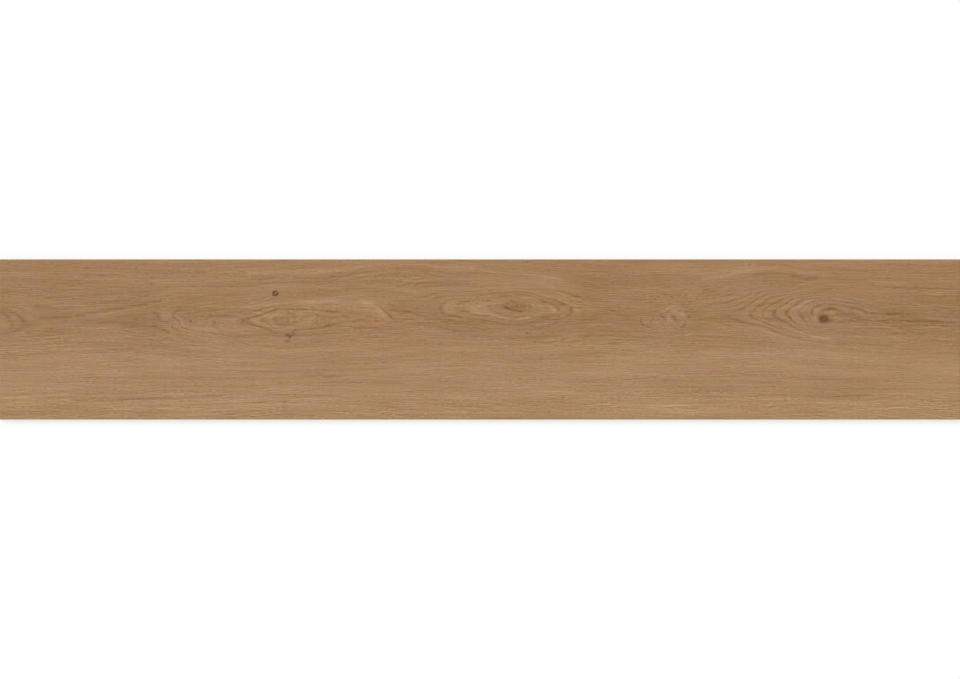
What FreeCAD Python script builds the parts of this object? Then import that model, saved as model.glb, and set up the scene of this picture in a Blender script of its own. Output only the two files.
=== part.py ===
"""Wood-look porcelain plank tile: one pressed, printed, fired and edge-ground piece.

The tile lies face up on its back ribs. The origin is the middle of the back, +X runs along
the plank and +Z comes out of the printed face. All sizes are in millimetres.
"""

import FreeCAD, Part
import math
import os

# Outline of the fired and ground tile
TILE_LENGTH = 1200.0
TILE_WIDTH = 200.0
TILE_THICKNESS = 9.0

# Bevels that the edge grinding leaves round the printed face and round the back
FACE_ARRIS = 0.6
BACK_ARRIS = 0.4

# Key pattern that the press mould leaves in the back: shallow square cells between ribs
KEY_PITCH = 24.0
KEY_RIB_WIDTH = 4.0
KEY_DEPTH = 0.7
KEY_DRAFT_ANGLE = 30.0
KEY_BORDER = 6.0

# Two heights closer than this are the same height
SAME_HEIGHT = 1e-6


def ground_slab():
    """The tile's slab with its ground edges, before the back pattern."""
    corner = FreeCAD.Vector(-TILE_LENGTH / 2, -TILE_WIDTH / 2, 0)
    slab = Part.makeBox(TILE_LENGTH, TILE_WIDTH, TILE_THICKNESS, corner)
    for height, arris in ((TILE_THICKNESS, FACE_ARRIS), (0.0, BACK_ARRIS)):
        slab = slab.makeChamfer(arris, edges_at(slab, height))
    return slab


def edges_at(shape, height):
    """The edges of a shape that lie wholly at one height."""
    return [
        edge
        for edge in shape.Edges
        if all(math.isclose(vertex.Z, height, abs_tol=SAME_HEIGHT) for vertex in edge.Vertexes)
    ]


def rectangle(length, width, height):
    """A closed rectangular wire, centred on the Z axis at one height."""
    x = length / 2
    y = width / 2
    corners = [(-x, -y), (x, -y), (x, y), (-x, y), (-x, -y)]
    return Part.makePolygon([FreeCAD.Vector(px, py, height) for px, py in corners])


def key_cell(length, width):
    """One cell of the back pattern: a shallow frustum whose walls lean by the mould's draft."""
    lean = 2 * KEY_DEPTH * math.tan(math.radians(KEY_DRAFT_ANGLE))
    mouth = rectangle(length, width, 0.0)
    floor = rectangle(length - lean, width - lean, KEY_DEPTH)
    return Part.makeLoft([mouth, floor], True, True)


def key_row(extent):
    """How many cells fit along one side of the back, and their even spacing."""
    room = extent - 2 * KEY_BORDER + KEY_RIB_WIDTH
    count = max(1, round(room / KEY_PITCH))
    return count, room / count


def key_pattern():
    """All the cells of the back, in an even grid inside the plain border."""
    count_x, pitch_x = key_row(TILE_LENGTH)
    count_y, pitch_y = key_row(TILE_WIDTH)
    cell = key_cell(pitch_x - KEY_RIB_WIDTH, pitch_y - KEY_RIB_WIDTH)
    cells = []
    for column in range(count_x):
        for row in range(count_y):
            x = (column - (count_x - 1) / 2) * pitch_x
            y = (row - (count_y - 1) / 2) * pitch_y
            cells.append(cell.translated(FreeCAD.Vector(x, y, 0)))
    return Part.makeCompound(cells)


def plank_tile():
    """The whole tile: the ground slab with the key pattern pressed into its back."""
    return ground_slab().cut(key_pattern())


def main():
    os.makedirs("parts", exist_ok=True)
    tile = plank_tile().Solids[0]
    tile.exportStep("parts/plank_tile.step")
    print(f"plank_tile: {len(tile.Faces)} faces, {tile.Volume / 1000:.1f} cm3, valid {tile.isValid()}")


main()
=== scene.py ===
"""Looks of the wood-look porcelain plank tile, in metres, in the frame of the solid.

One mesh piece stands for the solid: a dense face with shallow grain relief, the ground bevels and edges,
and the cells of the back. The oak figure of the face is a field of growth rings that passes through lines
drawn over the photograph. The same field shapes the relief and drives the colour.
"""

import math
from typing import NamedTuple

import bpy
import numpy as np
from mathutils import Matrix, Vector


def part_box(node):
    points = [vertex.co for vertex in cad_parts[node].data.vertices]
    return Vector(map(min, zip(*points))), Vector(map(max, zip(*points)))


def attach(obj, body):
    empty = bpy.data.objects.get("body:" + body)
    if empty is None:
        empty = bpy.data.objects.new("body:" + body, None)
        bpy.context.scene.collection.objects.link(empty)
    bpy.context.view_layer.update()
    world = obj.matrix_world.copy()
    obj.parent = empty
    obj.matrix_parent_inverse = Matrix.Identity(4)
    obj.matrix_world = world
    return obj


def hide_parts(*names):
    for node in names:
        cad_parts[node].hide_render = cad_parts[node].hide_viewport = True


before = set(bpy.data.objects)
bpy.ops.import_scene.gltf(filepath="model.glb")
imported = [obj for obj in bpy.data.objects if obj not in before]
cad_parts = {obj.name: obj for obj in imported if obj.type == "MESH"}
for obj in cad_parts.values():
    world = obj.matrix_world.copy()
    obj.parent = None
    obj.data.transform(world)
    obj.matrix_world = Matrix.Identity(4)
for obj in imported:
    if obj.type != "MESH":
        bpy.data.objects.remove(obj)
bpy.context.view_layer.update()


class RingLine(NamedTuple):
    """A line of the figure: its ring number, how strongly it shows, and its pixels.

    At a strength of zero it only bends the rings.
    """

    ring: int
    strength: float
    path: tuple


class Stroke(NamedTuple):
    """A thin line beside the rings: its tone, dark below zero, its pixels, and its half height."""

    tone: float
    path: tuple
    half_height: float = 0.78


class Mark(NamedTuple):
    """An oval spot: its pixel, half sizes in pixels, tone, and clockwise turn in degrees."""

    column: float
    row: float
    half_length: float
    half_height: float
    tone: float
    turn: float = 0.0


class Layer(NamedTuple):
    """A layer of noise: the size of its features in metres, and how far it moves what it acts on.

    Where it has a rise, it goes from nothing to full between those two values of the noise. The slice keeps
    layers apart, and detail and roughness are those of the noise.
    """

    size: tuple
    amount: float = 0.0
    rise: tuple = ()
    slice: float = 0.0
    detail: float = 0.0
    roughness: float = 0.5


# Sizes of the tile
NODE = "plank_tile"
_, node_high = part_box(NODE)
HALF_LENGTH, HALF_WIDTH, THICKNESS = node_high
FACE_ARRIS = 0.0006
BACK_ARRIS = 0.0004
KEY_PITCH = 0.024
KEY_RIB_WIDTH = 0.004
KEY_DEPTH = 0.0007
KEY_DRAFT_ANGLE = math.radians(30)
KEY_BORDER = 0.006
ROUNDING = 1e-6

# The mesh of the face, and the grooves and swells of its relief
FACE_COLUMNS = 500
FACE_ROWS = 174
LINE_GROOVE_DEPTH = 0.00008
LINE_GROOVE_WIDTH = 0.0013
FIBRE_GROOVE_DEPTH = 0.00007
FIBRE_GROOVE_SIZE = (0.030, 0.0030)
SWELL_DEPTH = 0.00006
SWELL_SIZE = (0.110, 0.011)
RELIEF_SEED = 11

# The bake map of the materials, where one is the whole map
MAP_MARGIN = 0.004
SIDE_MAP_HEIGHT = 0.03
SIDE_MAP_STEP = 0.04
SIDE_MAP_STRIPS = 3

# The photograph: how its pixels lie on the face
PHOTO_SIZE = (960, 679)
PIXEL = 0.0012485
HALF_PIXEL = 0.5
MIDDLE_COLUMN = 479.5
MIDDLE_ROW = 338.95

# The field of growth rings, in pixels: its plain form, and how the drawn lines pull on it and show
MEAN_HEART_ROW = 315.0
MEAN_HEART_DEPTH = 4.0
HEART_MARGIN = 60
HEART_LINE_BLUR = 8
HEART_DEPTH_BLUR = 4
BEND_REACH = 50.0
RING_HEIGHT = 4.6
KNOT_STEP = 4.0
WIDE_PULL = 0.8
WIDE_PULL_REACH = (22.0, 9.0)
CLOSE_PULL = 0.2
CLOSE_PULL_REACH = (7.0, 4.0)
PULL_SLACK = 0.012
LINE_REACH = (5.0, 2.4)
RING_REACH = 0.6
PLAIN_STRENGTH = 0.06
CALM_REACH = (12.0, 6.0)
PATCH_FALL = 0.7
FIELD_PARTS = 40

# Drawn lines fade where the rings lie further apart than this
WIDEST_GAP = 0.016
WIDEST_GAP_FADE = 0.006

# The printed face: its colour, and how far the drawn figure moves it, in screen levels
FACE_COLOUR = (162.4, 125.4, 87.1)
TONE_SPREAD = 70.0
SHADE_OF_CHANNEL = (0.985, 1.0, 1.05)
SHADE_STOPS = 9
LINE_TONE = 21.5
STROKE_TONE = 22.0
PATCH_TONE = 22.0
MARK_TONE = 42.0
MARK_RIM = (0.6, 1.5)
FIGURE_CALM = 0.3

# What one screen level more red, or more yellow, adds to the linear colour of the face
RED_LEVEL = (0.0033, -0.00124, 0.0)
YELLOW_LEVEL = (0.0, 0.0, -0.00236)

# The layers of the printed grain, with amounts in screen levels
BANDS = Layer((0.40, 0.011, 0.05), 18.0, detail=1.0)
STREAKS = Layer((0.17, 0.0034, 0.03), 18.0, detail=1.0)
CLOUDS = Layer((0.14, 0.05, 1.0), 9.0, detail=2.0)
LONG_FIBRES = Layer((0.055, 0.00115, 1.0), 22.0)
SHORT_FIBRES = Layer((0.016, 0.0013, 1.0), 6.5, (0.36, 0.64), slice=3.0)
TINY_FIBRES = Layer((0.0044, 0.0011, 1.0), 20.0, slice=6.0)
DARK_LINES = Layer((0.08, 0.0015, 1.0), -6.0, (0.60, 0.68), slice=21.0)
LIGHT_LINES = Layer((0.06, 0.0013, 1.0), 5.0, (0.60, 0.68), slice=9.0)
PORES = Layer((0.009, 0.0012, 1.0), -7.0, (0.60, 0.72), slice=12.0)
FLECKS = Layer((0.0028, 0.0036, 1.0), 7.0, (0.58, 0.72), detail=1.0)
RED_SHIFT = Layer((0.05, 0.014, 1.0), 13.0, slice=15.0, detail=4.0, roughness=0.7)
YELLOW_SHIFT = Layer((0.05, 0.014, 1.0), 17.0, slice=18.0, detail=4.0, roughness=0.7)

# Where those layers are strong or weak, and how the rings are drawn
SHORT_FIBRE_DROP = 0.0013
SHORT_FIBRE_AREAS = Layer((0.06, 0.008, 1.0), rise=(0.3, 0.7), slice=0.2, detail=1.0)
SHORT_FIBRE_SHARE = (0.25, 1.75)
TINY_FIBRE_AREAS = Layer((0.04, 0.0035, 1.0), rise=(0.35, 0.65), slice=0.6, detail=1.0)
TINY_FIBRE_SHARE = (0.15, 1.85)
FLECK_CLOUDS = (0.45, 0.65)
LINE_CORE = 0.14
LINE_GLOW = 0.25
LINE_BREAKS = Layer((0.011, 0.8, 1.0), rise=(0.35, 0.6), slice=5.0, detail=1.0)
LINE_BREAK_SHARE = (0.5, 1.2)

# How noise moves the grain and the spots, in metres, and the rings, in rings
GRAIN_DRIFT = Layer((0.12, 0.03, 1.0), 0.003, detail=1.0)
MARK_WARP_ACROSS = Layer((0.004, 0.003, 1.0), 0.002, detail=2.0)
MARK_WARP_DOWN = Layer((0.003, 0.004, 1.0), 0.0016, detail=2.0)
RING_WOBBLE = Layer((0.016, 0.004, 1.0), 0.3, detail=1.0)

# The finish of the face: matt, with finer bump than the mesh can carry
SPECULAR_LEVEL = 0.3
FACE_ROUGHNESS = 0.56
FIBRE_ROUGHNESS = 0.12
PORE_ROUGHNESS = 0.1
FIBRE_BUMP = 0.5
PORE_BUMP = -0.6
FACE_BUMP_STRENGTH = 0.25
FACE_BUMP_DISTANCE = 0.0002

# The porcelain body: its colour in screen levels, its layers and its finish
BODY_COLOUR = (160, 128, 98)
GRIT = Layer((0.0011, 0.0011, 0.0011), 26.0, detail=3.0, roughness=0.7)
SPECKS = Layer((0.0011, 0.0011, 0.0011), -13.0, (0.60, 0.72), detail=1.0)
BODY_CLOUDS = Layer((0.06, 0.06, 0.06), 14.0, detail=2.0)
GRINDING = Layer((0.045, 0.045, 0.00035), 14.0, detail=2.0)
BODY_ROUGHNESS = 0.68
GRIT_ROUGHNESS = 0.2
GRINDING_BUMP = 0.8
BODY_BUMP_STRENGTH = 0.35
BODY_BUMP_DISTANCE = 0.00025

# The studio: floor, sky, lamp and camera
WHITE = (1.0, 1.0, 1.0, 1.0)
FLOOR_SIZE = 14.0
FLOOR_DROP = 0.0002
FLOOR_SHARE = 0.35
FLOOR_LIFT = 0.67
FLOOR_ROUGHNESS = 0.9
SKY_STRENGTH = 0.6
LAMP_SHARE = 0.4
LAMP_ELEVATION = math.radians(62)
LAMP_SIDEWAYS = -0.35
LAMP_ANGLE = math.radians(30)
LENS = 85.0
SENSOR = 36.0

# Where the heart of the figure runs, as pixel column and row, and how many rings lie under it there
HEART_LINE = (
    (0, 321), (60, 317), (120, 318), (160, 318), (200, 320), (245, 321), (284, 320), (330, 316), (361, 314),
    (400, 311), (440, 307), (517, 306.5), (580, 310), (620, 313), (668, 318), (715, 317), (760, 314),
    (825, 318), (900, 320), (960, 321),
)
HEART_DEPTH = (
    (-20, 0.5), (0, 1.2), (10, 2), (22, 3), (37, 4), (70, 4.8), (120, 5.3), (140, 6.3), (152, 6), (165, 5),
    (178, 4), (195, 3.5), (225, 3.5), (247, 3), (262, 2), (274, 1), (284, 0.4), (294, 1), (318, 2),
    (340, 2.6), (361, 3), (393, 4), (415, 4.8), (430, 4.6), (441, 4), (470, 3), (488, 2.2), (502, 1),
    (517, 0.4), (532, 1), (545, 2.6), (559, 4), (571, 5), (581, 6), (590, 7), (612, 8), (640, 7.5),
    (668, 7.1), (692, 7.6), (706, 8.2), (718, 8), (735, 7.7), (748, 7), (761, 6), (773, 5), (785.5, 4),
    (798, 3), (810.5, 2), (818, 1), (824, 0.3), (850, 0.7), (900, 0.9), (960, 1.0),
)

# Lines of the figure that the growth rings pass through
RING_LINES = [RingLine(*row) for row in (
    # The half oval at the left end
    (2, 0.15, ((0, 312), (6, 316), (10, 322), (8, 328), (0, 332))),
    (3, 0.2, ((0, 306), (11, 311), (19, 317), (23, 322), (19, 328), (8, 333))),
    (4, 0.12, ((0, 301), (15, 305.5), (28, 311), (36, 317), (30, 325), (22, 331), (8, 337))),
    (5, 0.0, ((40, 317), (50, 317.3), (60, 317), (72, 315.6), (90, 314), (115, 312))),
    # The cathedral
    (6, 0.15, ((150, 320), (153, 325), (160, 327.5), (168, 331.5), (180, 335))),
    (5, 0.4, ((151, 311.8), (156, 313), (158, 317), (161, 321), (170, 322), (172, 326), (179, 330.5),
        (190, 333.5))),
    (4, 1.0, ((175, 311), (171.5, 314.5), (174, 318), (178, 320))),
    (4, 0.0, ((178.5, 322), (179, 324), (181, 326))), (4, 0.9, ((182, 327), (190, 329.5), (195, 330))),
    (4, 0.7, ((195, 330), (200, 330.5), (216, 333.5), (228, 334.8), (243, 336))),
    # The lens
    (3, 1.0, ((248, 318), (256, 315.3), (264, 313.3), (271, 310.3), (279, 308.6), (292, 308.2),
        (304, 308.8), (318, 309.6), (333, 310.8), (347, 310.8), (357, 311.8), (361, 314))),
    (3, 1.0, ((246, 323), (255, 324.8), (261, 326.5), (268, 329), (274, 331.2), (280, 333.3))),
    (2, 0.8, ((266.5, 316.6), (263, 317.4), (260, 320.3), (264, 321.5), (268, 323.5), (273, 327),
        (278, 331.5))),
    (1, 0.65, ((274.5, 315.8), (275, 320), (276.4, 323.7), (280.8, 325.6), (286, 325.6), (291.6, 323.5),
        (294, 316.5))),
    (2, 0.7, ((310, 312.5), (315.6, 313.7), (319, 315), (315.5, 317.5), (317, 320.5), (312, 323.7))),
    (3, 0.7, ((291.5, 331.8), (296, 329.8), (304, 329.1), (315, 328), (326, 326.3))),
    (4, 0.6, ((255, 310.5), (262, 308.7), (268, 307.2), (279, 305.6), (295, 305.5), (306, 306.2),
        (316, 307.3))),
    (3, 0.2, ((320, 316.5), (331, 317), (345, 316.2), (356, 315.8))),
    (4, 0.0, ((375.5, 299.5), (378.8, 302.4), (383, 309), (387.5, 315), (391, 317.5), (394.5, 320))),
    # The large oval
    (1, 0.9, ((502, 304), (508, 308), (514, 309.5), (520, 310.8))),
    (1, 0.5, ((520, 310.8), (528, 309), (531, 306), (527, 303), (518, 301.5), (508, 301.7), (502, 304))),
    (2, 0.6, ((490, 309), (494, 311), (500, 313), (508, 315.3), (516, 316.5), (526, 315))),
    (3, 0.7, ((458, 310), (466, 311), (472, 313.8), (484, 315), (492, 316), (500, 317.4), (508, 320),
        (518, 320.7), (528, 319.3))),
    (4, 0.9, ((446, 300.5), (442, 303), (440.5, 307), (441.5, 312), (447, 315), (455, 315.2), (462, 317.5),
        (470, 318.5), (480, 319), (487, 320), (494, 322), (505, 323.5), (520, 324), (530, 322),
        (541, 317.5))),
    (4, 0.25, ((446, 300.5), (455, 298), (463, 297.8), (484, 299), (492, 297.3))),
    (4, 0.9, ((492, 297.3), (500, 296.5), (508, 295), (517, 294.5), (527, 295), (535, 297), (541, 300),
        (546, 301.8), (553, 304), (558, 307.5))),
    (5, 0.7, ((556, 300), (560, 302), (566, 304.5), (571, 307.5), (571, 312), (567, 315.5), (562, 317.8),
        (553, 319.5))),
    (6, 0.35, ((553, 295), (559, 297), (563, 299), (569, 302), (575, 303.5))),
    (6, 0.25, ((575, 303.5), (580, 306.5), (582, 311), (579, 315), (574, 318), (566, 321))),
    (7, 0.3, ((556, 293), (561, 295.5), (567, 297), (572, 299.5), (580, 301.5))),
    (7, 0.15, ((580, 301.5), (586, 305), (589, 310), (587, 315), (580, 319), (570, 322.5), (560, 325))),
    (5, 0.7, ((436, 297), (443, 295.5), (451, 295), (462, 294.5), (469, 294.8), (480, 294), (492, 292.5),
        (505, 291), (520, 291), (534, 293), (541, 296), (549, 298.5), (556, 300))),
    (6, 0.6, ((425, 296.5), (433, 293.5), (441, 291.3), (448, 290.8), (460, 291.2), (480, 290.7),
        (495, 289), (515, 288), (535, 290))),
    (5, 0.7, ((443, 327.5), (450, 329), (456, 330.8), (470, 331))),
    # The swirl
    (7, 0.4, ((640, 316), (639, 320), (641, 324), (647, 326.5), (655, 328.5))),
    # The knot
    (1, 0.0, ((820, 311), (825, 309.5), (832, 309.3), (837, 310.5), (843, 312.5), (850, 314))),
    (2, 0.4, ((813, 315), (811, 312), (812, 308), (816, 305.5), (820, 304), (827, 303), (836, 304),
        (845, 305.5), (852, 307), (861, 309.8), (870, 312.5), (880, 313.5), (890, 313.5), (902, 312.8),
        (920, 312.5), (945, 313.5), (960, 313))),
    (3, 0.8, ((806, 323), (803, 318), (799.5, 315), (798, 311.5), (801, 308), (805, 304.5), (810, 301.8),
        (815, 300.4), (824, 300), (838, 300.8), (846, 302), (853, 302.8))),
    (4, 0.9, ((820, 332.5), (810, 331), (803, 328.5), (796, 323), (790, 318), (787, 315), (785.5, 312),
        (788, 309), (792, 307), (796, 304), (801, 300.5), (807, 298.5), (815, 298))),
    (5, 1.0, ((815, 334), (806, 332), (798, 329), (791, 325), (784, 321), (777.5, 318), (774, 315),
        (773.5, 311.5), (776, 308.5), (781, 305.5), (786, 303), (789, 300), (795, 297.5), (802, 296.3),
        (808, 295.8))),
    (6, 0.9, ((810, 336.5), (797, 333), (787, 329), (778, 325), (770, 321), (763, 318), (761.5, 314),
        (762.5, 310), (767, 307), (771, 304), (775, 302.5), (779, 300.3), (784, 297), (789, 295.8))),
    (7, 0.8, ((830, 341), (812, 338.8), (796, 335), (786, 332), (776, 327.5), (766, 322.5), (757, 319.5),
        (750, 316.5), (750, 313), (753, 310), (756, 306), (763, 303), (765, 300), (771, 296.5),
        (778, 295))),
    (8, 0.9, ((733, 319), (741, 321), (748, 323), (756, 324), (765, 326.5), (775, 331), (785, 335),
        (797, 338), (812, 341), (830, 343.2))),
    (8, 1.0, ((740, 308), (745, 305.8), (749, 303.8), (753, 301.5), (756, 299), (764, 294.3), (772, 293),
        (790, 291))),
    (9, 0.85, ((728, 306.5), (736, 305), (741, 302), (746, 299.8), (749, 297.5), (756, 294))),
    (10, 0.85, ((726, 303), (731, 300.5), (737, 298.5), (743, 296.5), (748, 294.8))),
)]

# Lines of the plain grain, and single lines of the figure
STROKES = [Stroke(*row) for row in (
    # In the upper half of the face
    (-0.7, ((0, 292.3), (14, 291.6), (28, 292.2))), (-0.5, ((8, 285), (24, 287))),
    (-0.45, ((65, 280.6), (80, 280.5))), (-0.5, ((80, 274), (100, 274.6), (118, 274))),
    (-0.4, ((145, 273), (205, 272))), (-0.4, ((80, 295), (110, 294), (122, 293))),
    (-0.45, ((52, 302.7), (86, 303))),
    (-0.5, ((0, 311), (6, 315.4), (9.4, 319.6), (11.4, 323), (12, 326)), 1.5),
    (-0.6, ((2, 308.4), (10, 311.4), (16, 314.2), (20.5, 318), (23, 321.4)), 1.6),
    (-0.5, ((40, 317), (57, 317.6)), 1.3), (-0.45, ((54, 316.6), (70, 316)), 1.1),
    (-0.6, ((76, 314.6), (100, 311), (130, 305.5), (160, 300)), 1.0),
    (-0.5, ((86, 305.5), (120, 299.5), (150, 294.5))), (0.4, ((96, 314.6), (130, 309.4), (150, 305))),
    (-0.5, ((118, 316), (146, 313.4)), 1.0), (-0.5, ((206, 316.6), (220, 314.6), (246, 312.4)), 1.2),
    (-0.45, ((226, 337), (244, 336.2))),
    (-0.5, ((120, 323.4), (140, 325), (152, 326.2), (160, 328.4), (168, 331.6)), 1.6),
    (-0.5, ((123, 300.9), (160, 301)), 0.9), (-0.45, ((139, 304), (148, 304))),
    (-0.6, ((33, 306), (51, 306))), (-0.55, ((64, 307), (71, 307))),
    (-0.5, ((58, 316.9), (70, 316.7)), 0.9), (-0.5, ((75, 315.8), (84, 315.8)), 0.9),
    (0.4, ((6, 304), (18, 305.3), (29, 308.8))), (-0.5, ((248, 279.2), (262, 278.5), (272, 277))),
    (-0.5, ((292, 277), (326, 277.4), (345, 275.4), (358, 272.8), (372, 269.8))),
    (-0.4, ((345, 286.2), (360, 285.4)), 1.6), (-0.5, ((396, 286), (432, 282), (470, 281))),
    (-0.5, ((410, 288.2), (440, 285), (472, 283.4))), (-0.3, ((400, 267.5), (428, 268.5)), 2.6),
    (0.45, ((248, 272.5), (300, 272), (340, 269), (360, 265.6), (382, 263.5), (430, 265),
        (472, 268.4)), 2.2),
    (0.5, ((472, 268.4), (496, 271.8), (520, 273), (540, 275), (560, 278))),
    (-0.4, ((600, 284), (625, 284.3), (670, 286))), (-0.5, ((649, 272.3), (656, 274.2))),
    (-0.5, ((700, 270.9), (716, 270))),
    (0.5, ((702, 279), (720, 276.6), (735, 272.7), (752, 270), (771, 268), (790, 270), (830, 275)), 1.7),
    (-0.55, ((753, 275.4), (765, 273.2), (780, 273), (791, 275), (803, 277.4), (816, 278)), 1.4),
    (-0.5, ((758, 263), (775, 263.6), (792, 265.2))),
    (0.4, ((866, 280.4), (900, 283), (930, 285.4), (958, 287))),
    (-0.45, ((868, 285), (905, 287), (958, 288.4))), (-0.5, ((818, 290), (831, 288.4))),
    (-0.45, ((712, 298.8), (736, 292.3))), (-0.5, ((721, 315.8), (734, 319.2))),
    (-0.5, ((690, 300.6), (706, 297.4))), (-0.45, ((696, 294.4), (714, 290.6))),
    (-0.45, ((700, 306.6), (715, 302.6))), (-0.45, ((744, 290.6), (760, 287))),
    (-0.45, ((5, 333.4), (14, 330.6), (22, 327.6))), (-0.6, ((24, 331.8), (32, 331.8))),
    (-0.5, ((41, 327.4), (51, 327.3))), (0.45, ((41, 325.9), (51, 326))), (-0.5, ((45, 331), (63, 331.4))),
    (-0.5, ((355, 328.4), (376, 325.4))), (-0.45, ((452, 334), (486, 335.2), (520, 337), (560, 335.4))),
    (-0.4, ((566, 331.8), (600, 330), (630, 331.6))), (-0.45, ((576, 336), (618, 334.6), (660, 337.4))),
    (-0.4, ((470, 327.8), (488, 328), (504, 328.8))),
    # In the lower half
    (-0.5, ((84, 377), (100, 376.4))),
    (-0.75, ((73, 400), (114, 400), (133, 398.3), (163, 397.8), (204, 396), (222, 395))),
    (0.5, ((0, 398), (40, 395.5), (66, 394.2))), (0.5, ((143, 395), (182, 394))),
    (0.6, ((112, 408.5), (156, 408), (178, 407.3))),
    (-0.45, ((175, 407), (194, 405), (224, 403), (265, 401.6))), (-0.5, ((326, 376), (346, 374))),
    (-0.5, ((322, 382), (360, 382.3))), (-0.45, ((378, 382.2), (402, 382.6))),
    (-0.7, ((278, 383), (286, 382.8))), (-0.6, ((253, 402), (261, 401.6))),
    (-0.4, ((272, 394), (332, 395))), (-0.45, ((320, 402), (347, 403.5), (381, 406), (402, 408))),
    (0.5, ((436, 397.7), (476, 399), (510, 403))), (-0.45, ((446, 403), (475, 406), (493, 409))),
    (-0.45, ((533, 342), (552, 341.4))), (-0.4, ((560, 341), (600, 339), (642, 341))),
    (-0.6, ((608, 343), (619, 343))), (0.5, ((480, 362), (504, 363))),
    (0.7, ((586, 404.6), (620, 404), (650, 405), (692, 405.6))), (-0.6, ((682, 406.4), (698, 407.6))),
    (-0.5, ((582, 391), (612, 390))), (-0.4, ((838, 343), (892, 345)), 1.8),
    (-0.65, ((803, 396.2), (830, 396.4), (850, 395), (870, 393.8))),
    (0.45, ((720, 399), (746, 399), (780, 399.5), (824, 402), (864, 404))),
    (0.5, ((868, 409), (902, 407.4))),
    # In and round the lens
    (-0.65, ((248, 317.8), (263, 313.6), (270, 310.7), (278, 308.2), (310, 308.8), (322, 310.4))),
    (-0.45, ((248, 324), (257, 325), (264, 327.6), (271, 330.2), (277, 333))),
    (-0.5, ((276, 308.5), (290, 307.9), (305, 308.6)), 1.0),
    (-0.5, ((275.6, 323.8), (279, 324.8), (287, 325.3))),
    (0.4, ((272, 312.3), (279, 310.5), (295, 310.5), (311, 310.9), (318, 312.2))),
    (0.3, ((362, 301.4), (372, 304.4), (380, 309.5), (385, 316)), 1.7), (-0.4, ((320, 316.8), (345, 317))),
    (-0.35, ((373.5, 296.5), (380.5, 303.5))), (0.4, ((250, 306), (262, 303.6), (276, 302.6))),
    (0.4, ((298, 300.5), (346, 301.5))), (0.35, ((311, 303.6), (319, 307.4))),
    (0.3, ((388, 320.6), (371, 325.6), (356, 329.2))), (-0.5, ((376, 303), (381.5, 308))),
    (-0.4, ((345, 312), (359, 314)), 1.1), (-0.45, ((390, 305), (402, 309.4), (412, 313)), 1.2),
    (-0.5, ((390, 308.5), (398, 310.6), (417, 310.5))),
    # In and round the large oval
    (0.7, ((476, 312), (490, 313.5), (498, 315.5), (505, 318), (515, 319), (528, 317))),
    (-0.4, ((488, 311.2), (497, 313), (505, 315.6), (516, 316.6))),
    (-0.4, ((480, 320), (495, 321.5), (505, 324), (520, 324.4), (528, 323), (536, 319.4))),
    (-0.4, ((530, 326), (541, 320.6))), (-0.35, ((535, 329), (551, 324.4))),
    (0.35, ((528, 328), (540, 322.5))), (-0.45, ((556, 289.5), (566, 293), (580, 296.5), (600, 298.5))),
    (-0.45, ((568, 293.5), (584, 298.8), (606, 301.4))), (0.25, ((548, 290.5), (562, 294.6), (580, 299))),
    (-0.35, ((530, 288.5), (545, 290), (552, 292.5))), (-0.45, ((584, 296), (592, 296.4))),
    (-0.5, ((552, 319.1), (563, 319))), (-0.5, ((580, 319), (590, 318.8), (600, 317.8))),
    (-0.5, ((592, 314.2), (612, 313.2), (634, 316.2))), (-0.35, ((588, 320.4), (610, 319), (632, 320))),
    (-0.4, ((460, 310), (468.5, 310.5))), (-0.45, ((472, 313.9), (478, 315), (487, 315.2))),
    (-0.6, ((451.5, 315), (458, 315.2), (461.5, 317))),
    # In and round the knot
    (-0.75, ((812.6, 315.4), (811, 312), (812.2, 308.6), (815, 306.4), (819, 304.7), (824, 303.6),
        (831, 303.6), (839, 304.2), (847, 305.4), (855, 307.4), (863, 310.8), (871, 312.8), (880, 313.7),
        (891, 313.6)), 1.05),
    (0.45, ((815.4, 313), (816, 309.6), (820, 307), (830, 305.9), (838, 306.8), (846, 309),
        (861, 312.6)), 1.2),
    (-0.6, ((821, 310.6), (826, 309.1), (832, 308.7), (836, 309.6), (840, 311.6), (846, 313.4),
        (854, 314)), 1.1),
    (-0.4, ((851, 307), (861, 309.2)), 1.7), (-0.45, ((846, 301.8), (856, 303)), 1.0),
    (-0.5, ((887, 313.4), (903, 312.4)), 1.2), (-0.4, ((843, 319.3), (853, 319.2)), 1.2),
    (0.4, ((771, 321.6), (780, 325), (790, 329), (800, 332), (810, 335.4), (824, 338))),
    (0.4, ((771, 325.8), (778, 329), (786, 332.4), (796, 336))),
    (0.35, ((760, 328.4), (768, 332), (776, 335.4))), (0.35, ((783, 326.4), (793, 329.8), (802, 333))),
    (-0.4, ((769, 327.4), (777, 331), (788, 334.4), (800, 337.8))),
    (-0.35, ((765, 322.6), (776, 327), (787, 331))),
)]

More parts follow.
